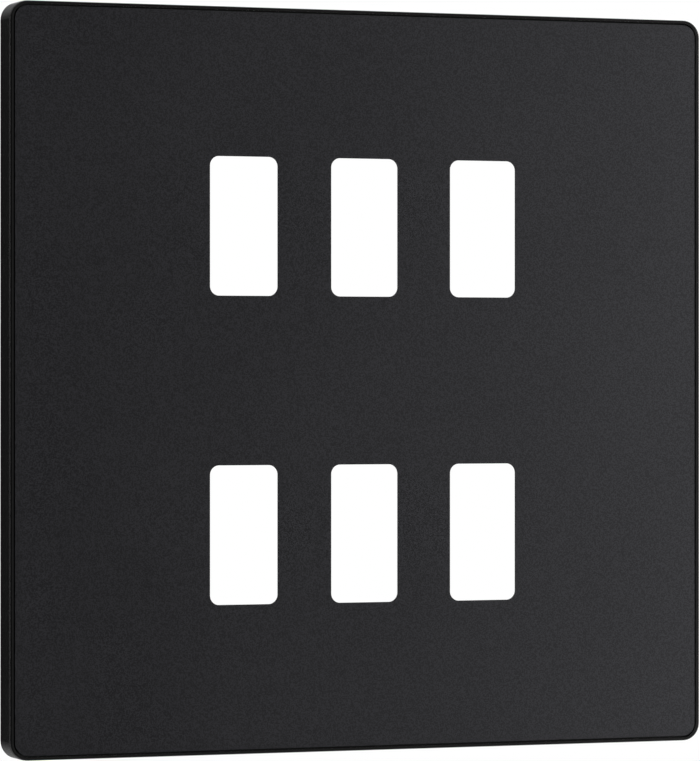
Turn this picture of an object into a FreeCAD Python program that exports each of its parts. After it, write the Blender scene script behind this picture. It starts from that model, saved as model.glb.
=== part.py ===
import FreeCAD, Part
import math
import os
import Sketcher

# A flush grid switch plate for a wall box that is two gangs wide and two gangs high.
# X runs to the right, Z up, and the front faces -Y. The wall is the plane Y = 0.
# A level is a distance in front of the wall, so a point at level 7 has Y = -7.

# Driving dimensions, in millimetres
SIZES = {
    # Fixing grid and outline: one row of windows and one row of screws to each gang
    "gang_pitch": 60.3,
    "edge_margin": 12.7,
    "corner_radius": 3.6,
    # Section of the surround
    "wall_thickness": 1.8,
    "floor_thickness": 1.2,
    "lip_width": 0.65,
    "taper_depth": 0.9,
    "taper_width": 0.1,
    "edge_round": 0.2,
    # Front panel
    "panel_gap": 0.33,
    "panel_recess": 0.25,
    "panel_thickness": 1.0,
    "panel_edge_break": 0.05,
    # Windows for the switch modules
    "module_pitch": 25.3,
    "window_width": 14.1,
    "window_height": 27.2,
    "window_radius": 1.85,
    "window_land": 0.25,
    "window_setback": 1.4,
    "collar_width": 1.0,
    "collar_height": 0.5,
    # Stakes that hold the panel in the surround
    "stake_inset": 16.0,
    "stake_radius": 1.0,
    "stake_clearance": 0.1,
    "stake_head_radius": 1.75,
    "stake_head_height": 0.9,
    # Mounting frame
    "frame_gap": 0.9,
    "frame_corner_radius": 1.2,
    "web_thickness": 1.6,
    "upstand_thickness": 1.2,
    "upstand_rise": 0.3,
    "module_width": 24.3,
    "module_height": 45.4,
    "bay_clearance": 0.6,
    "bay_radius": 1.0,
    "notch_width": 6.0,
    "notch_depth": 1.5,
    # Clips between the surround and the mounting frame
    "clip_length": 12.0,
    "clip_slack": 0.2,
    "latch_level": 1.6,
    "latch_play": 0.1,
    "clip_land": 0.4,
    "clip_lead": 0.8,
    # Notch for a screwdriver that levers the plate off
    "pry_width": 8.0,
    "pry_height": 1.2,
    # Fixing screws
    "thread_radius": 1.75,
    "neck_step": 0.2,
    "screw_length": 25.0,
    "head_radius": 3.25,
    "head_height": 2.1,
    "head_chamfer": 0.6,
    "head_clearance": 0.4,
    "driver_slot_width": 0.9,
    "driver_slot_depth": 1.1,
    "slot_clearance": 0.35,
    "slot_travel": 2.8,
}

# Counts that belong to this kind of plate
MODULE_COLUMNS = 3
ROWS = 2
SCREW_COLUMNS = 2
CLIP_COLUMNS = 2
STAKE_COLUMNS = 3
STAKE_ROWS = 3

# Sizes worked out from the driving ones
PLATE_SIDE = "2 * (Sizes.gang_pitch + Sizes.edge_margin)"
HOLLOW_SIDE = f"({PLATE_SIDE} - 2 * Sizes.wall_thickness)"
HOLLOW_RADIUS = "(Sizes.corner_radius - Sizes.wall_thickness)"
RECESS_SIDE = f"({PLATE_SIDE} - 2 * Sizes.lip_width)"
RECESS_RADIUS = "(Sizes.corner_radius - Sizes.lip_width)"
PANEL_SIDE = f"({RECESS_SIDE} - 2 * Sizes.panel_gap)"
PANEL_RADIUS = f"({RECESS_RADIUS} - Sizes.panel_gap)"
FRAME_SIDE = f"({HOLLOW_SIDE} - 2 * Sizes.frame_gap)"

# Levels in front of the wall
HEAD_LEVEL = "(Sizes.web_thickness + Sizes.head_height)"
FLOOR_BACK = f"({HEAD_LEVEL} + Sizes.head_clearance)"
FLOOR_FRONT = f"({FLOOR_BACK} + Sizes.floor_thickness)"
PANEL_FRONT = f"({FLOOR_FRONT} + Sizes.panel_thickness)"
PLATE_FRONT = f"({PANEL_FRONT} + Sizes.panel_recess)"
TAPER_LEVEL = f"({PLATE_FRONT} - Sizes.taper_depth)"
CATCH_LEVEL = "(Sizes.latch_level + Sizes.latch_play)"
CATCH_TOP = f"({CATCH_LEVEL} + Sizes.clip_land + Sizes.clip_lead)"
UPSTAND_LEVEL = f"({CATCH_TOP} + Sizes.upstand_rise)"

# The first window, bay, screw and stake of each pattern stand at the lower left
FIRST_COLUMN = f"-Sizes.module_pitch * {(MODULE_COLUMNS - 1) / 2}"
FIRST_ROW = f"-Sizes.gang_pitch * {(ROWS - 1) / 2}"
FIRST_SCREW = "-Sizes.gang_pitch"
FIRST_STAKE = f"-({PLATE_SIDE} / 2 - Sizes.stake_inset)"
STAKE_SPAN = f"({PLATE_SIDE} - 2 * Sizes.stake_inset)"

# A pattern's own mark for a gap that takes the common step
EVEN_STEP = -1.0

QUARTER_TURN = math.pi / 2
OUT_OF_PLANE = FreeCAD.Vector(0, 0, 1)

# Runs of copies that several patterns share: axis, count and step
OVER_ROWS = ("Z_Axis", ROWS, "Sizes.gang_pitch")
OVER_SCREWS = ("X_Axis", SCREW_COLUMNS, "2 * Sizes.gang_pitch")

# The bays hold a row of modules each
BAY_WIDTH = f"(Sizes.module_pitch * {MODULE_COLUMNS - 1} + Sizes.module_width + Sizes.bay_clearance)"
BAY_HEIGHT = "(Sizes.module_height + Sizes.bay_clearance)"
CLIP_HEIGHT = "(Sizes.frame_gap - Sizes.clip_slack)"

doc = FreeCAD.newDocument("grid_switch_plate")
sheet = doc.addObject("Spreadsheet::Sheet", "Sizes")
for row, (alias, size) in enumerate(SIZES.items(), start=1):
    sheet.set(f"A{row}", str(size))
    sheet.setAlias(f"A{row}", alias)
doc.recompute()


def number(formula):
    """The present value of a formula, for drawing a sketch close to its final form."""
    return float(sheet.evalExpression(str(formula)))


def new_body(label):
    body = doc.addObject("PartDesign::Body", label)
    body.Label = label
    body.Placement = FreeCAD.Placement()
    return body


def origin_feature(body, role):
    return next(item for item in body.Origin.OriginFeatures if item.Role == role)


def new_sketch(body, name, plane="XZ_Plane", x="0", y="0", level="0"):
    """A sketch on an origin plane, with its own origin moved by x and y in the plane and level off it."""
    sketch = body.newObject("Sketcher::SketchObject", name)
    sketch.AttachmentSupport = [(origin_feature(body, plane), "")]
    sketch.MapMode = "FlatFace"
    for axis, formula in zip("xyz", (x, y, level)):
        sketch.setExpression(f"AttachmentOffset.Base.{axis}", formula)
    return sketch


def dimension(sketch, kind, where, name, formula):
    """A named dimension of a sketch, bound to a formula."""
    index = sketch.addConstraint(Sketcher.Constraint(kind, *where, number(formula)))
    sketch.renameConstraint(index, name)
    sketch.setExpression(f"Constraints.{name}", formula)


def rounded_rectangle(sketch, width, height, radius):
    """A rectangle with round corners about the sketch's origin: four sides, then the arc that ends each."""
    half_w, half_h, r = number(width) / 2, number(height) / 2, number(radius)
    corners = [(1, -1), (1, 1), (-1, 1), (-1, -1)]
    centres = [FreeCAD.Vector(sx * (half_w - r), sy * (half_h - r)) for sx, sy in corners]
    outward = [FreeCAD.Vector(0, -r), FreeCAD.Vector(r, 0), FreeCAD.Vector(0, r), FreeCAD.Vector(-r, 0)]
    for side in range(4):
        start = centres[side - 1] + outward[side]
        end = centres[side] + outward[side]
        sketch.addGeometry(Part.LineSegment(start, end))
    for side in range(4):
        first = (side - 1) * QUARTER_TURN
        corner = Part.Circle(centres[side], OUT_OF_PLANE, r)
        sketch.addGeometry(Part.ArcOfCircle(corner, first, first + QUARTER_TURN))
    for side in range(4):
        arc, following = side + 4, (side + 1) % 4
        sketch.addConstraint(Sketcher.Constraint("Tangent", side, 2, arc, 1))
        sketch.addConstraint(Sketcher.Constraint("Tangent", arc, 2, following, 1))
        direction = "Horizontal" if side % 2 == 0 else "Vertical"
        sketch.addConstraint(Sketcher.Constraint(direction, side))
    for arc in (5, 6, 7):
        sketch.addConstraint(Sketcher.Constraint("Equal", 4, arc))
    sketch.addConstraint(Sketcher.Constraint("Symmetric", 4, 3, 6, 3, -1, 1))
    dimension(sketch, "DistanceX", (3, 1, 1, 1), "width", width)
    dimension(sketch, "DistanceY", (0, 1, 2, 1), "height", height)
    dimension(sketch, "Radius", (4,), "radius", radius)
    return sketch


def circle(sketch, radius):
    """A circle about the sketch's origin."""
    sketch.addGeometry(Part.Circle(FreeCAD.Vector(), OUT_OF_PLANE, number(radius)))
    sketch.addConstraint(Sketcher.Constraint("Coincident", 0, 3, -1, 1))
    dimension(sketch, "Radius", (0,), "radius", radius)
    return sketch


def slot(sketch, radius, travel):
    """A slot with round ends about the sketch's origin, its length along the sketch's x axis."""
    r, half = number(radius), number(travel) / 2
    right = Part.Circle(FreeCAD.Vector(half, 0), OUT_OF_PLANE, r)
    left = Part.Circle(FreeCAD.Vector(-half, 0), OUT_OF_PLANE, r)
    sketch.addGeometry(Part.LineSegment(FreeCAD.Vector(-half, -r), FreeCAD.Vector(half, -r)))
    sketch.addGeometry(Part.ArcOfCircle(right, -QUARTER_TURN, QUARTER_TURN))
    sketch.addGeometry(Part.LineSegment(FreeCAD.Vector(half, r), FreeCAD.Vector(-half, r)))
    sketch.addGeometry(Part.ArcOfCircle(left, QUARTER_TURN, 3 * QUARTER_TURN))
    for side in range(4):
        sketch.addConstraint(Sketcher.Constraint("Tangent", side, 2, (side + 1) % 4, 1))
    sketch.addConstraint(Sketcher.Constraint("Horizontal", 0))
    sketch.addConstraint(Sketcher.Constraint("Symmetric", 1, 3, 3, 3, -1, 1))
    dimension(sketch, "Radius", (1,), "radius", radius)
    dimension(sketch, "DistanceX", (3, 3, 1, 3), "travel", travel)
    return sketch


def outline(sketch, corners, name="corner"):
    """A closed outline with straight sides through corners, given as pairs of formulas."""
    points = [FreeCAD.Vector(number(x), number(y)) for x, y in corners]
    first = sketch.GeometryCount
    count = len(points)
    for side in range(count):
        sketch.addGeometry(Part.LineSegment(points[side], points[(side + 1) % count]))
    for side in range(count):
        following = first + (side + 1) % count
        sketch.addConstraint(Sketcher.Constraint("Coincident", first + side, 2, following, 1))
        x, y = corners[side]
        dimension(sketch, "DistanceX", (-1, 1, first + side, 1), f"{name}_{side}_x", x)
        dimension(sketch, "DistanceY", (-1, 1, first + side, 1), f"{name}_{side}_y", y)
    return sketch


def rectangle(sketch, left, right, bottom, top, name="corner"):
    """A rectangle between two x formulas and two y formulas."""
    return outline(sketch, [(left, bottom), (right, bottom), (right, top), (left, top)], name)


def pad(body, name, sketch, length, backwards=False, symmetric=False, taper=None):
    """Material raised from a sketch: on an XZ sketch towards the front, or the wall if backwards.

    A taper is the angle by which the sides lean outwards."""
    feature = body.newObject("PartDesign::Pad", name)
    feature.Profile = sketch
    feature.Reversed = backwards
    if symmetric:
        feature.SideType = "Symmetric"
    if taper:
        feature.setExpression("TaperAngle", taper)
    feature.setExpression("Length", length)
    return settle(body, feature, grows=True)


def pocket(body, name, sketch, depth=None, forwards=False):
    """Material cut away from a sketch: on an XZ sketch towards the wall, or the front if forwards."""
    feature = body.newObject("PartDesign::Pocket", name)
    feature.Profile = sketch
    feature.Reversed = forwards
    if depth is None:
        feature.Type = "ThroughAll"
    else:
        feature.setExpression("Length", depth)
    return settle(body, feature, grows=False)


def revolve(body, name, sketch):
    """Material swept round the sketch's own y axis."""
    feature = body.newObject("PartDesign::Revolution", name)
    feature.Profile = sketch
    feature.ReferenceAxis = (sketch, ["V_Axis"])
    feature.Angle = 360
    return settle(body, feature, grows=True)


def pattern(body, name, originals, *runs):
    """Copies of features along one or two axes; a run is an axis, a count and a step."""
    feature = body.newObject("PartDesign::LinearPattern", name)
    feature.Originals = originals
    for suffix, (axis, count, step) in zip(("", "2"), runs):
        setattr(feature, f"Direction{suffix}", (origin_feature(body, axis), [""]))
        setattr(feature, f"Mode{suffix}", "Spacing")
        setattr(feature, f"Occurrences{suffix}", count)
        setattr(feature, f"Spacings{suffix}", [EVEN_STEP] * (count - 1))
        feature.setExpression(f"Offset{suffix}", step)
    body.Tip = feature
    return settle(body, feature, grows=originals[0].TypeId != "PartDesign::Pocket")


def dress(body, kind, name, base, edges, prop, formula):
    """A fillet or chamfer on the given edges of a feature."""
    feature = body.newObject(f"PartDesign::{kind}", name)
    feature.Base = (base, edges)
    feature.setExpression(prop, formula)
    return settle(body, feature, grows=False)


def settle(body, feature, grows):
    """Recompute, and stop if the feature left the body's volume as it was or changed it the wrong way."""
    doc.recompute()
    base = feature.BaseFeature
    change = feature.Shape.Volume - (base.Shape.Volume if base else 0)
    if abs(change) < 1e-6 or (change > 0) != grows:
        raise RuntimeError(f"{body.Label}: {feature.Name} changed the volume by {change:.4f}")
    return feature


def edges_at(feature, level, within=None):
    """Names of the edges that lie at a level, or only those nearer than within to both centre lines."""
    y = -number(level)
    limit = number(within) if within else float("inf")
    names = []
    for index, edge in enumerate(feature.Shape.Edges, start=1):
        box = edge.BoundBox
        flat = abs(box.YMin - y) < 1e-6 and abs(box.YMax - y) < 1e-6
        reach = max(abs(box.XMin), abs(box.XMax), abs(box.ZMin), abs(box.ZMax))
        if flat and reach < limit:
            names.append(f"Edge{index}")
    return names


def window_sketch(body, name, level, spare):
    """One window, larger by spare on every side, at the lower left place of the grid."""
    sketch = new_sketch(body, name, x=FIRST_COLUMN, y=FIRST_ROW, level=level)
    width = f"Sizes.window_width + 2 * {spare}"
    height = f"Sizes.window_height + 2 * {spare}"
    return rounded_rectangle(sketch, width, height, f"Sizes.window_radius + {spare}")


def over_windows(body, name, feature):
    """A feature of one window repeated on all of them."""
    across = ("X_Axis", MODULE_COLUMNS, "Sizes.module_pitch")
    return pattern(body, name, [feature], across, OVER_ROWS)


def over_stakes(body, name, feature):
    """A feature of one stake repeated on all of them."""
    across = ("X_Axis", STAKE_COLUMNS, f"{STAKE_SPAN} / {STAKE_COLUMNS - 1}")
    up = ("Z_Axis", STAKE_ROWS, f"{STAKE_SPAN} / {STAKE_ROWS - 1}")
    return pattern(body, name, [feature], across, up)


def clips(body, name, root, top, levels):
    """Clip profiles on two facing walls, padded along them, for the upper and lower and for the side walls.

    root and top are the distances of a clip's foot and crest from the centre line,
    levels the latching face, the end of the crest and the end of the lead-in.
    """
    latch, land, lead = levels
    profile = [(latch, root), (latch, top), (land, top), (lead, root)]
    upper = new_sketch(body, f"{name}_upper_profile", "YZ_Plane", level=FIRST_ROW)
    side = new_sketch(body, f"{name}_side_profile", "XY_Plane", level=FIRST_ROW)
    for sign, which in (("", "plus"), ("-", "minus")):
        outline(upper, [(f"-({y})", f"{sign}({z})") for y, z in profile], which)
        outline(side, [(f"{sign}({x})", f"-({y})") for y, x in profile], which)
    upper_pad = pad(body, f"{name}_upper", upper, "Sizes.clip_length", symmetric=True)
    pattern(body, f"{name}_upper_pair", [upper_pad], ("X_Axis", CLIP_COLUMNS, "Sizes.gang_pitch"))
    side_pad = pad(body, f"{name}_side", side, "Sizes.clip_length", symmetric=True)
    pattern(body, f"{name}_side_pair", [side_pad], ("Z_Axis", CLIP_COLUMNS, "Sizes.gang_pitch"))


def make_surround():
    """The moulded frame: side walls that lean in at the front, lip, recess for the panel and hollow behind."""
    body = new_body("surround")
    block = new_sketch(body, "surround_outline")
    rounded_rectangle(block, PLATE_SIDE, PLATE_SIDE, "Sizes.corner_radius")
    pad(body, "surround_block", block, TAPER_LEVEL)
    brow = new_sketch(body, "taper_outline", level=TAPER_LEVEL)
    rounded_rectangle(brow, PLATE_SIDE, PLATE_SIDE, "Sizes.corner_radius")
    taper = "-atan(Sizes.taper_width / Sizes.taper_depth)"
    brow_pad = pad(body, "surround_taper", brow, "Sizes.taper_depth", taper=taper)
    front_edges = edges_at(brow_pad, PLATE_FRONT)
    dress(body, "Fillet", "surround_edge", brow_pad, front_edges, "Radius", "Sizes.edge_round")
    recess = new_sketch(body, "panel_recess_outline", level=PLATE_FRONT)
    rounded_rectangle(recess, RECESS_SIDE, RECESS_SIDE, RECESS_RADIUS)
    pocket(body, "panel_recess_cut", recess, "Sizes.panel_recess + Sizes.panel_thickness")
    hollow = new_sketch(body, "hollow_outline")
    rounded_rectangle(hollow, HOLLOW_SIDE, HOLLOW_SIDE, HOLLOW_RADIUS)
    pocket(body, "hollow_cut", hollow, FLOOR_BACK, forwards=True)
    collar_edge = "(Sizes.window_setback + Sizes.collar_width)"
    collar = new_sketch(body, "collar_outline", x=FIRST_COLUMN, y=FIRST_ROW, level=FLOOR_BACK)
    half_width = f"(Sizes.window_width / 2 + {collar_edge})"
    half_height = f"(Sizes.window_height / 2 + {collar_edge})"
    rectangle(collar, f"-{half_width}", half_width, f"-{half_height}", half_height)
    collar_pad = pad(body, "collar", collar, "Sizes.collar_height", backwards=True)
    over_windows(body, "collars", collar_pad)
    window = window_sketch(body, "floor_window_outline", FLOOR_FRONT, "Sizes.window_setback")
    over_windows(body, "floor_windows", pocket(body, "floor_window", window))
    stake_hole = new_sketch(body, "stake_hole_outline", x=FIRST_STAKE, y=FIRST_STAKE, level=FLOOR_FRONT)
    circle(stake_hole, "Sizes.stake_radius + Sizes.stake_clearance")
    over_stakes(body, "stake_holes", pocket(body, "stake_hole", stake_hole))
    latch = "Sizes.latch_level"
    land = f"({latch} - Sizes.clip_land)"
    lead = f"({land} - Sizes.clip_lead)"
    wall = f"{HOLLOW_SIDE} / 2"
    clips(body, "nub", wall, f"{wall} - {CLIP_HEIGHT}", (latch, land, lead))
    pry = new_sketch(body, "pry_outline", y=f"-{PLATE_SIDE} / 2")
    half = "Sizes.pry_width / 2"
    rectangle(pry, f"-{half}", half, "-Sizes.wall_thickness", "Sizes.wall_thickness")
    pocket(body, "pry_notch", pry, "Sizes.pry_height", forwards=True)
    return body


def make_front_panel():
    """The moulded sheet with its windows, and the stakes behind it."""
    body = new_body("front_panel")
    sheet_outline = new_sketch(body, "panel_outline", level=FLOOR_FRONT)
    rounded_rectangle(sheet_outline, PANEL_SIDE, PANEL_SIDE, PANEL_RADIUS)
    sheet_pad = pad(body, "panel_sheet", sheet_outline, "Sizes.panel_thickness")
    front_edges = edges_at(sheet_pad, PANEL_FRONT)
    dress(body, "Chamfer", "panel_edge", sheet_pad, front_edges, "Size", "Sizes.panel_edge_break")
    window = window_sketch(body, "window_outline", PANEL_FRONT, "0")
    windows = over_windows(body, "windows", pocket(body, "window", window))
    reach = f"{PANEL_SIDE} / 2 - {PANEL_RADIUS} - Sizes.panel_gap"
    relief_edges = edges_at(windows, FLOOR_FRONT, within=reach)
    relief = "Sizes.panel_thickness - Sizes.window_land"
    dress(body, "Chamfer", "window_reliefs", windows, relief_edges, "Size", relief)
    # A stake is a pin through the floor with its end melted to a head like a flat rivet's
    stake = new_sketch(body, "stake_profile", "XY_Plane", x=FIRST_STAKE, level=FIRST_STAKE)
    crown = f"(Sizes.stake_head_height - {FLOOR_BACK})"
    corners = [
        ("0", f"-{FLOOR_FRONT}"),
        ("Sizes.stake_radius", f"-{FLOOR_FRONT}"),
        ("Sizes.stake_radius", f"-{FLOOR_BACK}"),
        ("Sizes.stake_head_radius", f"-{FLOOR_BACK}"),
        ("Sizes.stake_head_radius", crown),
        ("0", crown),
    ]
    outline(stake, corners)
    over_stakes(body, "stakes", revolve(body, "stake", stake))
    return body


def make_mounting_frame():
    """The moulded inner frame that is screwed to the wall box, and that the plate clips on to."""
    body = new_body("mounting_frame")
    block = new_sketch(body, "frame_outline")
    rounded_rectangle(block, FRAME_SIDE, FRAME_SIDE, "Sizes.frame_corner_radius")
    pad(body, "frame_block", block, UPSTAND_LEVEL)
    tray = new_sketch(body, "tray_outline", level=UPSTAND_LEVEL)
    tray_side = f"{FRAME_SIDE} - 2 * Sizes.upstand_thickness"
    rounded_rectangle(tray, tray_side, tray_side, "Sizes.bay_radius")
    pocket(body, "tray_cut", tray, f"{UPSTAND_LEVEL} - Sizes.web_thickness")
    rim = new_sketch(body, "bay_rim_outline", y=FIRST_ROW, level="Sizes.web_thickness")
    rim_width = f"{BAY_WIDTH} + 2 * Sizes.upstand_thickness"
    rim_height = f"{BAY_HEIGHT} + 2 * Sizes.upstand_thickness"
    rounded_rectangle(rim, rim_width, rim_height, "Sizes.bay_radius + Sizes.upstand_thickness")
    rim_pad = pad(body, "bay_rim", rim, f"{UPSTAND_LEVEL} - Sizes.web_thickness")
    pattern(body, "bay_rims", [rim_pad], OVER_ROWS)
    bay = new_sketch(body, "bay_outline", y=FIRST_ROW, level=UPSTAND_LEVEL)
    rounded_rectangle(bay, BAY_WIDTH, BAY_HEIGHT, "Sizes.bay_radius")
    pattern(body, "bays", [pocket(body, "bay", bay)], OVER_ROWS)
    # The spring clips of each module catch in a notch above and below it
    notch = new_sketch(body, "notch_outline", x=FIRST_COLUMN, y=FIRST_ROW, level=UPSTAND_LEVEL)
    half = "Sizes.notch_width / 2"
    inner = f"({BAY_HEIGHT} / 2 - Sizes.notch_depth)"
    outer = f"({BAY_HEIGHT} / 2 + Sizes.notch_depth)"
    rectangle(notch, f"-{half}", half, inner, outer, "above")
    rectangle(notch, f"-{half}", half, f"-{outer}", f"-{inner}", "below")
    over_windows(body, "notches", pocket(body, "notch", notch))
    hole = new_sketch(body, "screw_slot_outline", x=FIRST_SCREW, y=FIRST_ROW, level=UPSTAND_LEVEL)
    slot(hole, "Sizes.thread_radius + Sizes.slot_clearance", "Sizes.slot_travel")
    screw_slot = pocket(body, "screw_slot", hole)
    pattern(body, "screw_slots", [screw_slot], OVER_SCREWS, OVER_ROWS)
    land = f"({CATCH_LEVEL} + Sizes.clip_land)"
    edge = f"{FRAME_SIDE} / 2"
    clips(body, "catch", edge, f"{edge} + {CLIP_HEIGHT}", (CATCH_LEVEL, land, CATCH_TOP))
    return body


def make_fixing_screws():
    """Four pan head machine screws with slotted heads; the free ends stand behind the wall plane."""
    body = new_body("fixing_screws")
    body.AllowCompound = True
    profile = new_sketch(body, "screw_profile", "XY_Plane", x=FIRST_SCREW, level=FIRST_ROW)
    neck = "(Sizes.thread_radius - Sizes.neck_step)"
    seat = "-Sizes.web_thickness"
    tip = "Sizes.screw_length - Sizes.web_thickness"
    corners = [
        ("0", f"-{HEAD_LEVEL}"),
        ("Sizes.head_radius - Sizes.head_chamfer", f"-{HEAD_LEVEL}"),
        ("Sizes.head_radius", f"Sizes.head_chamfer - {HEAD_LEVEL}"),
        ("Sizes.head_radius", seat),
        (neck, seat),
        (neck, "0"),
        ("Sizes.thread_radius", "0"),
        ("Sizes.thread_radius", tip),
        ("0", tip),
    ]
    outline(profile, corners)
    screw = revolve(body, "screw", profile)
    groove = new_sketch(body, "driver_slot_outline", x=FIRST_SCREW, y=FIRST_ROW, level=HEAD_LEVEL)
    half = "Sizes.driver_slot_width / 2"
    past_head = "(Sizes.head_radius + Sizes.head_chamfer)"
    rectangle(groove, f"-{past_head}", past_head, f"-{half}", half)
    cut = pocket(body, "driver_slot", groove, "Sizes.driver_slot_depth")
    pattern(body, "screws", [screw, cut], OVER_SCREWS, OVER_ROWS)
    return body


SOLIDS = {
    "surround": 1,
    "front_panel": 1,
    "mounting_frame": 1,
    "fixing_screws": SCREW_COLUMNS * ROWS,
}
bodies = [make_surround(), make_front_panel(), make_mounting_frame(), make_fixing_screws()]
doc.recompute()

for item in doc.Objects:
    if "Invalid" in item.State or "Error" in item.State:
        raise RuntimeError(f"{item.Name} failed: {item.State}")
for body in bodies:
    shape = body.Shape
    if shape.isNull() or not shape.isValid() or len(shape.Solids) != SOLIDS[body.Label]:
        raise RuntimeError(f"{body.Label} is not sound")

os.makedirs("parts", exist_ok=True)
for body in bodies:
    body.Shape.exportStep(f"parts/{body.Label}.step")
    print(f"{body.Label}: {len(body.Shape.Solids)} solids, {body.Shape.Volume:.1f} mm3")
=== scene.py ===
import math

import bmesh
import bpy
from mathutils import Matrix, Vector


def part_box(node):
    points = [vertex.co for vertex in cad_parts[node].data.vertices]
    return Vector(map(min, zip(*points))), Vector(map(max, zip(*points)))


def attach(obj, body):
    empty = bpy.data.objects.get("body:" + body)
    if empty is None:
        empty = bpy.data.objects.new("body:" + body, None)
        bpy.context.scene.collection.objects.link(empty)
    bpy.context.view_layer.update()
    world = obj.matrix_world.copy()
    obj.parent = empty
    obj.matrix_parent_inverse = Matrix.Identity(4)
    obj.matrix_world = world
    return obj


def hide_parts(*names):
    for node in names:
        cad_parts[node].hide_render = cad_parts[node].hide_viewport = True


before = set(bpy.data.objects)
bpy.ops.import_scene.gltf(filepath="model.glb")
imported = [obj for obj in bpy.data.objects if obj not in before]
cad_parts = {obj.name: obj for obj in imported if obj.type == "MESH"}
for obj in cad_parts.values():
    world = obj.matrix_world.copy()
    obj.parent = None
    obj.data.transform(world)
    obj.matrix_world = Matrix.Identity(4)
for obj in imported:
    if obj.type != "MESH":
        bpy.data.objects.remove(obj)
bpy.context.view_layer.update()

MM = 0.001
WHITE = (1.0, 1.0, 1.0, 1.0)


def millimetres(metres):
    return round(metres / MM, 3)


# Fixing screws, in millimetres, with their places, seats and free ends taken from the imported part
HEAD_RADIUS = 3.25
HEAD_HEIGHT = 2.1
HEAD_DOME = 0.25
HEAD_EDGE_ROUND = 1.1
HEAD_UNDER_CHAMFER = 0.12
DRIVER_SLOT_WIDTH = 0.9
DRIVER_SLOT_DEPTH = 1.1
NECK_CHAMFER = 0.25
TIP_CHAMFER = 0.25
THREAD_RADIUS = 1.75
THREAD_DEPTH = 0.34
THREAD_PITCH = 0.6
THREAD_FROM_SEAT = 0.5
THREAD_FROM_TIP = 0.45
screws_low, screws_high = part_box("fixing_screws")
SCREW_X = millimetres(screws_high.x) - HEAD_RADIUS
SCREW_Z = millimetres(screws_high.z) - HEAD_RADIUS
HEAD_Y = millimetres(screws_low.y)
SEAT_Y = HEAD_Y + HEAD_HEIGHT
TIP_Y = millimetres(screws_high.y)

# Fineness of the screws' meshes, and the thread's height at each row of one pitch as a share of its depth
SCREW_SIDES = 32
DOME_STEPS = 4
EDGE_STEPS = 6
THREAD_PROFILE = (0.0, 0.0, 0.5, 1.0, 1.0, 0.5)
THREAD_ROWS = len(THREAD_PROFILE)
MERGE_DISTANCE = 1e-5
LEAST_EDGE = 1e-6
SHARP_ANGLE = math.radians(35)

# Painted light on the lip's inner wall: a paler colour that stands in for light reaching it, fading out
# behind the panel's front
PAINTED_LIGHT_COLOUR = (0.06, 0.06, 0.06, 1.0)
PAINTED_LIGHT_FULL_BEHIND = 0.15 * MM
PAINTED_LIGHT_NONE_BEHIND = 0.60 * MM
FACES_INWARD = -50 * MM
FACES_ELSEWHERE = -20 * MM

# Range that holds most of a noise texture's values
NOISE_LOW = 0.3
NOISE_HIGH = 0.7

# Camera of the photograph: to the left of the plate, level with its middle
CAMERA_AT = Vector((-336.96, -859.38, 0.0)) * MM
CAMERA_TURN = math.radians(21.374)
LENS = 220.0
SENSOR_WIDTH = 36.0

# Studio: lengths in metres, and the curtains' ends, steps and reach in degrees
AMBIENT = 0.7
FLOOR_Z = -0.3
FLOOR_RADIUS = 3.0
FLOOR_SIDES = 96
FLOOR_FADE_START = 0.36
FLOOR_FADE_END = 0.95
CURTAIN_RADIUS = 1.5
CURTAIN_FOOT = FLOOR_Z + 1 * MM
CURTAIN_REACH = 53
CURTAIN_STEP = 4
BACK_CURTAIN = (-190, -148.4)
FRONT_CURTAIN = (-147.2, 60)
SOFTBOX_AT = (0.79, -0.53)
SOFTBOX_RISE = 0.195
SOFTBOX_SIZE = (0.63, 0.19)
SOFTBOX_RADIANCE = 7.6


# Node helpers

def link(tree, source, target):
    tree.links.new(source, target)


def operate(tree, kind, operation, *sources):
    """The node of a kind that does an operation on the given sockets."""
    node = tree.nodes.new(kind)
    node.operation = operation
    for source, target in zip(sources, node.inputs):
        link(tree, source, target)
    return node


def calculate(tree, operation, *sources):
    """A number worked out from other numbers."""
    return operate(tree, "ShaderNodeMath", operation, *sources).outputs["Value"]


def vector_node(tree, operation, *sources):
    return operate(tree, "ShaderNodeVectorMath", operation, *sources)


def parts(tree, vector):
    """The X, Y and Z of a vector."""
    node = tree.nodes.new("ShaderNodeSeparateXYZ")
    link(tree, vector, node.inputs["Vector"])
    return node.outputs


def noise(tree, coordinates, size, detail=2.0, roughness=0.5):
    """Noise whose features are about size across, in metres."""
    node = tree.nodes.new("ShaderNodeTexNoise")
    node.inputs["Scale"].default_value = 1.0 / size
    node.inputs["Detail"].default_value = detail
    node.inputs["Roughness"].default_value = roughness
    link(tree, coordinates, node.inputs["Vector"])
    return node.outputs["Fac"]


def spread(tree, value, low, high, start=NOISE_LOW, end=NOISE_HIGH):
    """A value between start and end stretched to run from low to high."""
    node = tree.nodes.new("ShaderNodeMapRange")
    for socket, number in (("From Min", start), ("From Max", end), ("To Min", low), ("To Max", high)):
        node.inputs[socket].default_value = number
    link(tree, value, node.inputs["Value"])
    return node.outputs["Result"]


def shade(tree, value, dark, light, start=NOISE_LOW, end=NOISE_HIGH):
    """A colour that runs from dark to light as a value goes from start to end."""
    node = tree.nodes.new("ShaderNodeValToRGB")
    first, last = node.color_ramp.elements
    first.position, last.position = start, end
    first.color, last.color = (*dark, 1.0), (*light, 1.0)
    link(tree, value, node.inputs["Fac"])
    return node.outputs["Color"]


def bump(tree, height, depth, strength):
    """Relief of a given depth, in metres."""
    node = tree.nodes.new("ShaderNodeBump")
    node.inputs["Distance"].default_value = depth
    node.inputs["Strength"].default_value = strength
    link(tree, height, node.inputs["Height"])
    return node.outputs["Normal"]


def mixed(tree, share, first, second):
    """A shader that goes from the first to the second by a share."""
    node = tree.nodes.new("ShaderNodeMixShader")
    for source, target in zip((share, first, second), node.inputs):
        link(tree, source, target)
    return node.outputs["Shader"]


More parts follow.
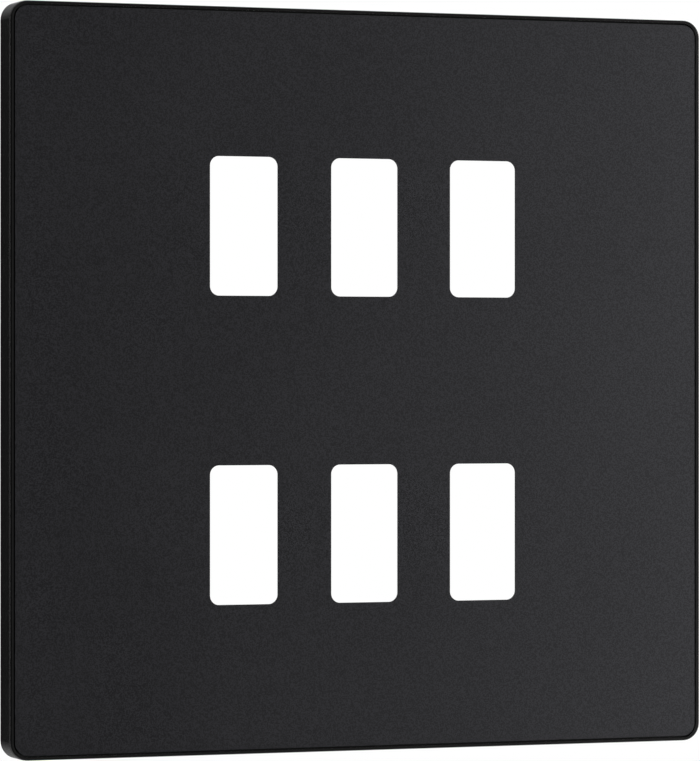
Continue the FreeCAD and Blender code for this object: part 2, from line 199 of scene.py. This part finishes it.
def new_material(name):
    """A material with a Principled BSDF, its tree and the object coordinates of the surface."""
    material = bpy.data.materials.new(name)
    material.use_nodes = True
    tree = material.node_tree
    shader = tree.nodes["Principled BSDF"]
    coordinates = tree.nodes.new("ShaderNodeTexCoord").outputs["Object"]
    return material, tree, shader, coordinates


def surface(tree, shader, colour, roughness, relief):
    """Feeds a shader's colour, roughness and relief."""
    link(tree, colour, shader.inputs["Base Color"])
    link(tree, roughness, shader.inputs["Roughness"])
    link(tree, relief, shader.inputs["Normal"])


# Materials

def grained_panel():
    """Matt black moulding with a fine spark-eroded grain."""
    material, tree, shader, at = new_material("panel_grain")
    grain = noise(tree, at, size=0.20 * MM, detail=1.0)
    cloud = noise(tree, at, size=40 * MM, detail=1.0)
    dark, light = (0.0004, 0.0004, 0.0005), (0.0138, 0.0138, 0.0159)
    colour = shade(tree, grain, dark, light, start=0.45, end=0.55)
    roughness = spread(tree, cloud, low=0.37, high=0.40)
    surface(tree, shader, colour, roughness, bump(tree, grain, depth=0.003 * MM, strength=0.6))
    shader.inputs["Specular IOR Level"].default_value = 0.4
    shader.inputs["Specular Tint"].default_value = (1.0, 1.0, 1.07, 1.0)
    return material


def painted_light_share(tree, at):
    """One on the lip's inner wall, where a paler colour is painted to stand in for the light reaching it,
    fading out behind the panel's front, and otherwise zero.
    """
    # The product is the wall's distance from the plate's middle, below zero where it faces the middle
    normal = tree.nodes.new("ShaderNodeNewGeometry").outputs["Normal"]
    facing = vector_node(tree, "DOT_PRODUCT", at, normal).outputs["Value"]
    inward = spread(tree, facing, low=1.0, high=0.0, start=FACES_INWARD, end=FACES_ELSEWHERE)
    panel_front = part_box("front_panel")[0].y
    start, end = panel_front + PAINTED_LIGHT_FULL_BEHIND, panel_front + PAINTED_LIGHT_NONE_BEHIND
    forward = spread(tree, parts(tree, at)["Y"], low=1.0, high=0.0, start=start, end=end)
    return calculate(tree, "MULTIPLY", inward, forward)


def satin_surround():
    """Smooth black moulding with a soft satin finish, and painted light on the lip's inner wall: a paler
    colour that stands in for the light reaching it.
    """
    material, tree, shader, at = new_material("surround_satin")
    fine = noise(tree, at, size=0.30 * MM)
    cloud = noise(tree, at, size=25 * MM)
    # Painted light: the lip's inner wall gets a paler colour that stands in for the light reaching it, fading
    # into the recess
    painted_light_mix = tree.nodes.new("ShaderNodeMix")
    painted_light_mix.data_type = "RGBA"
    link(tree, painted_light_share(tree, at), painted_light_mix.inputs["Factor"])
    link(tree, shade(tree, cloud, (0.0024, 0.0024, 0.0025), (0.0030, 0.0030, 0.0031)), painted_light_mix.inputs["A"])
    painted_light_mix.inputs["B"].default_value = PAINTED_LIGHT_COLOUR
    roughness = spread(tree, fine, low=0.16, high=0.21)
    relief = bump(tree, fine, depth=0.004 * MM, strength=0.5)
    surface(tree, shader, painted_light_mix.outputs["Result"], roughness, relief)
    return material


def plain_frame():
    """Charcoal moulding of the inner frame, with faint flow marks."""
    material, tree, shader, at = new_material("frame_charcoal")
    flow = noise(tree, at, size=14 * MM, detail=4.0, roughness=0.6)
    fine = noise(tree, at, size=0.45 * MM, detail=3.0, roughness=0.6)
    colour = shade(tree, flow, (0.030, 0.031, 0.033), (0.040, 0.041, 0.043))
    roughness = spread(tree, fine, low=0.48, high=0.62)
    surface(tree, shader, colour, roughness, bump(tree, fine, depth=0.010 * MM, strength=0.5))
    return material


def zinc_plate():
    """Bright zinc plating on steel, a little dull and cloudy."""
    material, tree, shader, at = new_material("screw_zinc")
    cloud = noise(tree, at, size=1.6 * MM, detail=3.0, roughness=0.6)
    fine = noise(tree, at, size=0.12 * MM)
    colour = shade(tree, cloud, (0.50, 0.51, 0.52), (0.66, 0.66, 0.65))
    roughness = spread(tree, cloud, low=0.24, high=0.38)
    surface(tree, shader, colour, roughness, bump(tree, fine, depth=0.004 * MM, strength=0.5))
    shader.inputs["Metallic"].default_value = 1.0
    return material


# Fixing screws

def head_outline(root):
    """Points of the head and neck as pairs of radius and Y, from the crown to the root of the thread."""
    points = [(0.0, HEAD_Y)]
    for step in range(1, DOME_STEPS + 1):
        share = step / DOME_STEPS
        points.append(((HEAD_RADIUS - HEAD_EDGE_ROUND) * share, HEAD_Y + HEAD_DOME * share ** 2))
    for step in range(1, EDGE_STEPS + 1):
        turn = math.pi / 2 * step / EDGE_STEPS
        points.append((
            HEAD_RADIUS - HEAD_EDGE_ROUND * (1 - math.sin(turn)),
            HEAD_Y + HEAD_DOME + HEAD_EDGE_ROUND * (1 - math.cos(turn)),
        ))
    return points + [
        (HEAD_RADIUS, SEAT_Y - HEAD_UNDER_CHAMFER),
        (HEAD_RADIUS - HEAD_UNDER_CHAMFER, SEAT_Y),
        (root + NECK_CHAMFER, SEAT_Y),
        (root, SEAT_Y + NECK_CHAMFER),
    ]


def revolve(mesh, points):
    """A skin round the Y axis through pairs of radius and Y; a radius of zero is a single point."""
    def ring(radius, y):
        if radius == 0.0:
            return [mesh.verts.new((0.0, y, 0.0))] * SCREW_SIDES
        turns = [2 * math.pi * side / SCREW_SIDES for side in range(SCREW_SIDES)]
        return [mesh.verts.new((radius * math.cos(a), y, radius * math.sin(a))) for a in turns]

    rings = [ring(*point) for point in points]
    for first, second in zip(rings, rings[1:]):
        for side in range(SCREW_SIDES):
            following = (side + 1) % SCREW_SIDES
            corners = [first[side], first[following], second[following], second[side]]
            mesh.faces.new(list(dict.fromkeys(corners)))


def add_thread(mesh, root, start_y, end_y):
    """A thread whose rows climb with the helix; those beyond its ends fall on the end rings."""
    def thread_point(row, side):
        y = start_y + (row / THREAD_ROWS - 1 + side / SCREW_SIDES) * THREAD_PITCH
        inside = min(y - start_y, end_y - y)
        fade = max(0.0, min(1.0, inside / THREAD_PITCH))
        y = max(start_y, min(end_y, y))
        radius = root + THREAD_DEPTH * THREAD_PROFILE[row % THREAD_ROWS] * fade
        angle = 2 * math.pi * side / SCREW_SIDES
        return radius * math.cos(angle), y, radius * math.sin(angle)

    turns = int((end_y - start_y) / THREAD_PITCH) + 2
    rows = turns * THREAD_ROWS
    grid = [
        [mesh.verts.new(thread_point(row, side)) for side in range(SCREW_SIDES)]
        for row in range(rows + THREAD_ROWS + 1)
    ]
    for row in range(rows):
        for side in range(SCREW_SIDES):
            if side + 1 < SCREW_SIDES:
                right = (grid[row][side + 1], grid[row + 1][side + 1])
            else:
                right = (grid[row + THREAD_ROWS][0], grid[row + THREAD_ROWS + 1][0])
            mesh.faces.new((grid[row][side], right[0], right[1], grid[row + 1][side]))


def screw_mesh():
    """One pan head screw about the Y axis, in millimetres, before its slot is cut."""
    mesh = bmesh.new()
    root = THREAD_RADIUS - THREAD_DEPTH
    start_y, end_y = SEAT_Y + THREAD_FROM_SEAT, TIP_Y - THREAD_FROM_TIP
    revolve(mesh, head_outline(root) + [(root, start_y)])
    revolve(mesh, [(root, end_y), (root - TIP_CHAMFER, TIP_Y), (0.0, TIP_Y)])
    add_thread(mesh, root, start_y, end_y)
    bmesh.ops.remove_doubles(mesh, verts=mesh.verts, dist=MERGE_DISTANCE)
    bmesh.ops.dissolve_degenerate(mesh, edges=mesh.edges, dist=LEAST_EDGE)
    loose = [vertex for vertex in mesh.verts if not vertex.link_faces]
    bmesh.ops.delete(mesh, geom=loose, context="VERTS")
    bmesh.ops.recalc_face_normals(mesh, faces=mesh.faces)
    return mesh_data("screw", mesh)


def mesh_data(name, mesh):
    """A mesh made from a bmesh, which is freed."""
    data = bpy.data.meshes.new(name)
    mesh.to_mesh(data)
    mesh.free()
    return data


def add_object(name, data):
    item = bpy.data.objects.new(name, data)
    bpy.context.scene.collection.objects.link(item)
    return item


def slotted(data):
    """The screw in metres, with the driver slot cut across its head."""
    block = bmesh.new()
    bmesh.ops.create_cube(block, size=1.0)
    size = Vector((3 * HEAD_RADIUS, 2 * DRIVER_SLOT_DEPTH, DRIVER_SLOT_WIDTH))
    place = Matrix.Translation((0.0, HEAD_Y, 0.0)) @ Matrix.Diagonal((*size, 1.0))
    bmesh.ops.transform(block, matrix=place, verts=block.verts)
    whole = add_object("screw_blank", data)
    cutter = add_object("slot_cutter", mesh_data("slot_cutter", block))
    cut = whole.modifiers.new("slot", "BOOLEAN")
    cut.operation = "DIFFERENCE"
    cut.solver = "EXACT"
    cut.object = cutter
    result = bpy.data.meshes.new_from_object(whole.evaluated_get(bpy.context.evaluated_depsgraph_get()))
    for item in (whole, cutter):
        bpy.data.objects.remove(item)
    result.transform(Matrix.Scale(MM, 4))
    return result


def add_screws(material):
    """The four screws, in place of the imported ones."""
    shape = slotted(screw_mesh())
    shape.materials.clear()
    shape.materials.append(material)
    for name, x, z in (
        ("screw_lower_left", -SCREW_X, -SCREW_Z),
        ("screw_lower_right", SCREW_X, -SCREW_Z),
        ("screw_upper_left", -SCREW_X, SCREW_Z),
        ("screw_upper_right", SCREW_X, SCREW_Z),
    ):
        data = shape.copy()
        data.transform(Matrix.Translation(Vector((x, 0.0, z)) * MM))
        data.shade_smooth()
        data.set_sharp_from_angle(angle=SHARP_ANGLE)
        screw = add_object(name, data)
        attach(screw, "root")
        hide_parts("fixing_screws")


def dress(node, material):
    """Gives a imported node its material."""
    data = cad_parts[node].data
    data.materials.clear()
    data.materials.append(material)


# Studio

def stage_object(name, mesh, material):
    data = mesh_data(name, mesh)
    data.materials.append(material)
    item = add_object(name, data)
    return item


def background_rays(tree):
    """One for rays from the camera and those that gloss or glass sends on, and otherwise zero."""
    rays = tree.nodes.new("ShaderNodeLightPath")
    seen = rays.outputs["Is Camera Ray"]
    for other in ("Is Glossy Ray", "Is Transmission Ray"):
        seen = calculate(tree, "MAXIMUM", seen, rays.outputs[other])
    return seen


def add_floor():
    """A pale floor that keeps the shadow near the object and runs out to white."""
    material, tree, shader, at = new_material("floor_pale")
    shader.inputs["Base Color"].default_value = (0.82, 0.82, 0.82, 1.0)
    shader.inputs["Roughness"].default_value = 0.9
    shader.inputs["Specular IOR Level"].default_value = 0.1
    away = vector_node(tree, "LENGTH", at).outputs["Value"]
    far = spread(tree, away, low=0.0, high=1.0, start=FLOOR_FADE_START, end=FLOOR_FADE_END)
    share = calculate(tree, "MULTIPLY", far, background_rays(tree))
    white = tree.nodes.new("ShaderNodeEmission").outputs["Emission"]
    seen = mixed(tree, share, shader.outputs["BSDF"], white)
    link(tree, seen, tree.nodes["Material Output"].inputs["Surface"])
    mesh = bmesh.new()
    bmesh.ops.create_circle(mesh, cap_ends=True, radius=FLOOR_RADIUS, segments=FLOOR_SIDES)
    bmesh.ops.translate(mesh, verts=mesh.verts, vec=(0.0, 0.0, FLOOR_Z))
    stage_object("floor", mesh, material)


def heading(tree, at):
    """The way in which a point lies from the centre, as the parts of a unit vector."""
    return parts(tree, vector_node(tree, "NORMALIZE", at).outputs["Vector"])


def glow(material, tree, shader, level):
    """Makes a material shine by a level instead of reflecting."""
    light = tree.nodes.new("ShaderNodeEmission")
    link(tree, level, light.inputs["Strength"])
    link(tree, light.outputs["Emission"], tree.nodes["Material Output"].inputs["Surface"])
    tree.nodes.remove(shader)
    return material


def back_cloth():
    """Cloth behind the left side that is dark at eye level and pales above and below."""
    material, tree, shader, at = new_material("cloth_back")
    rise = calculate(tree, "ABSOLUTE", heading(tree, at)["Z"])
    return glow(material, tree, shader, spread(tree, rise, low=0.030, high=0.30, start=0.12, end=0.36))


def front_cloth():
    """Cloth round the front that pales towards the right, and at the left front above and below eye level."""
    material, tree, shader, at = new_material("cloth_front")
    way = heading(tree, at)
    right = spread(tree, way["X"], low=0.0, high=0.22, start=0.05, end=0.22)
    left = spread(tree, way["X"], low=0.20, high=0.0, start=-0.6, end=-0.3)
    ahead = spread(tree, way["Y"], low=1.0, high=0.0, start=-0.5, end=-0.2)
    rise = spread(tree, calculate(tree, "ABSOLUTE", way["Z"]), low=0.0, high=1.0, start=0.12, end=0.25)
    left_front = calculate(tree, "MULTIPLY", left, calculate(tree, "MULTIPLY", ahead, rise))
    return glow(material, tree, shader, calculate(tree, "ADD", right, left_front))


def add_curtain(name, first, last, material):
    """A curtain from first to last, in degrees to the right of the front, with a card at its foot.

    It is seen only in reflections."""
    slope = math.tan(math.radians(CURTAIN_REACH))
    levels = (
        (-CURTAIN_FOOT / slope, CURTAIN_FOOT),
        (CURTAIN_RADIUS, CURTAIN_FOOT),
        (CURTAIN_RADIUS, CURTAIN_RADIUS * slope),
    )
    steps = math.ceil((last - first) / CURTAIN_STEP)
    mesh = bmesh.new()
    columns = []
    for step in range(steps + 1):
        angle = math.radians(first + (last - first) * step / steps)
        side = Vector((math.sin(angle), -math.cos(angle), 0.0))
        columns.append([mesh.verts.new(side * radius + Vector((0.0, 0.0, z))) for radius, z in levels])
    for left, right in zip(columns, columns[1:]):
        for row in range(len(levels) - 1):
            mesh.faces.new((left[row], right[row], right[row + 1], left[row + 1]))
    curtain = stage_object(name, mesh, material)
    curtain.visible_camera = False
    curtain.visible_diffuse = False
    curtain.visible_shadow = False
    curtain.visible_transmission = False


def add_softbox(name, rise):
    """A soft box at the right that faces the object from a height."""
    at = Vector((*SOFTBOX_AT, rise))
    width, height = SOFTBOX_SIZE
    lamp = bpy.data.lights.new(name, "AREA")
    lamp.shape = "RECTANGLE"
    lamp.size, lamp.size_y = width, height
    lamp.energy = SOFTBOX_RADIANCE * math.pi * width * height
    item = add_object(name, lamp)
    item.location = at
    item.rotation_mode = "QUATERNION"
    item.rotation_quaternion = (-at).to_track_quat("-Z", "Y")
    item.visible_camera = False


def add_world():
    """Even soft light, and a white background for the camera and in gloss and glass."""
    world = bpy.data.worlds.new("studio")
    world.use_nodes = True
    tree = world.node_tree
    tree.nodes.clear()

    def background(strength):
        node = tree.nodes.new("ShaderNodeBackground")
        node.inputs["Color"].default_value = WHITE
        node.inputs["Strength"].default_value = strength
        return node.outputs["Background"]

    seen = mixed(tree, background_rays(tree), background(AMBIENT), background(1.0))
    link(tree, seen, tree.nodes.new("ShaderNodeOutputWorld").inputs["Surface"])
    bpy.context.scene.world = world


def add_camera():
    data = bpy.data.cameras.new("camera")
    data.lens = LENS
    data.sensor_width = SENSOR_WIDTH
    camera = add_object("camera", data)
    camera.location = CAMERA_AT
    camera.rotation_mode = "QUATERNION"
    ahead = Vector((math.sin(CAMERA_TURN), math.cos(CAMERA_TURN), 0.0))
    camera.rotation_quaternion = ahead.to_track_quat("-Z", "Y")
    bpy.context.scene.camera = camera


# The object and its studio

dress("front_panel", grained_panel())
dress("surround", satin_surround())
dress("mounting_frame", plain_frame())
add_screws(zinc_plate())
add_floor()
add_curtain("curtain_back", *BACK_CURTAIN, back_cloth())
add_curtain("curtain_front", *FRONT_CURTAIN, front_cloth())
add_softbox("softbox_upper", SOFTBOX_RISE)
add_softbox("softbox_lower", -SOFTBOX_RISE)
add_world()
add_camera()
bpy.context.scene.view_settings.view_transform = "Standard"
